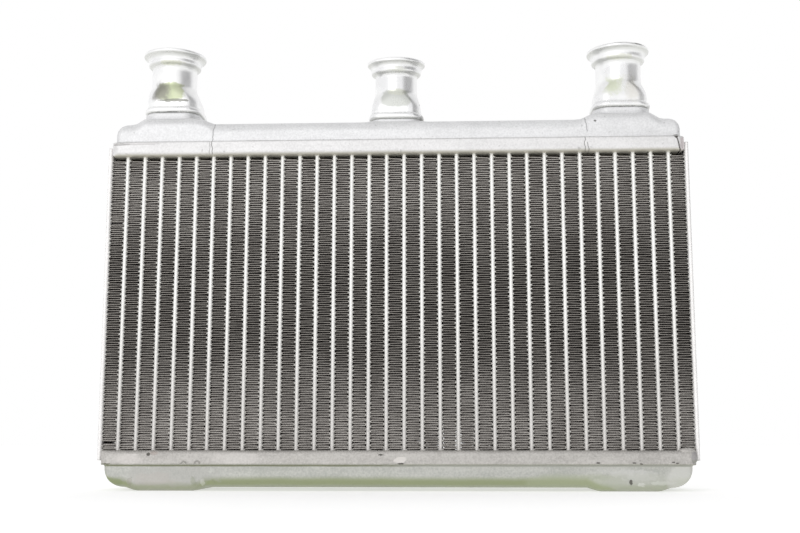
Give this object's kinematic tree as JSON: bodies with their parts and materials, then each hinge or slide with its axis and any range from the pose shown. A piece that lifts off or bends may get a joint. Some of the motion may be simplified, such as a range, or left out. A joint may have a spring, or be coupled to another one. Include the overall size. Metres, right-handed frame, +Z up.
{
  "type": "heater core",
  "caption": "Brazed aluminium two-zone heater core: upright flat tubes and folded fins between pressed tanks, with flanged pipe stubs on top.",
  "frame": {"origin": "centre of the footprint, in the plane of the two lower boss pads that the core stands on", "axes": "+X across the tubes, to the right seen from the front; +Y through the core, from front to back; +Z up along the tubes, towards the pipe stubs"},
  "size_m": [0.2376, 0.044, 0.1828],
  "materials": {
    "upper_tank": "satin, sandy flux skin",
    "lower_tank": "satin, sandy flux skin",
    "upper_header": "satin",
    "lower_header": "satin",
    "side_plate": "satin",
    "stub": "bright drawn",
    "baffle": "satin",
    "tube": "satin",
    "fin": "dull, louvred foil"
  },
  "bodies": {
    "root": {"top_tank": "upper_tank", "bottom_tank": "lower_tank", "top_header": "upper_header", "bottom_header": "lower_header", "left_side_plate": "side_plate", "right_side_plate": "side_plate", "left_stub": "stub", "middle_stub": "stub", "right_stub": "stub", "top_left_baffle": "baffle", "top_right_baffle": "baffle", "bottom_baffle": "baffle", "tube_01": "tube", "tube_02": "tube", "tube_03": "tube", "tube_04": "tube", "tube_05": "tube", "tube_06": "tube", "tube_07": "tube", "tube_08": "tube", "tube_09": "tube", "tube_10": "tube", "tube_11": "tube", "tube_12": "tube", "tube_13": "tube", "tube_14": "tube", "tube_15": "tube", "tube_16": "tube", "tube_17": "tube", "tube_18": "tube", "tube_19": "tube", "tube_20": "tube", "tube_21": "tube", "tube_22": "tube", "tube_23": "tube", "tube_24": "tube", "tube_25": "tube", "tube_26": "tube", "tube_27": "tube", "tube_28": "tube", "tube_29": "tube", "tube_30": "tube", "tube_31": "tube", "tube_32": "tube", "fin_set_01": "fin", "fin_set_02": "fin", "fin_set_03": "fin", "fin_set_04": "fin", "fin_set_05": "fin", "fin_set_06": "fin", "fin_set_07": "fin", "fin_set_08": "fin", "fin_set_09": "fin", "fin_set_10": "fin", "fin_set_11": "fin"}
  },
  "joints": []
}
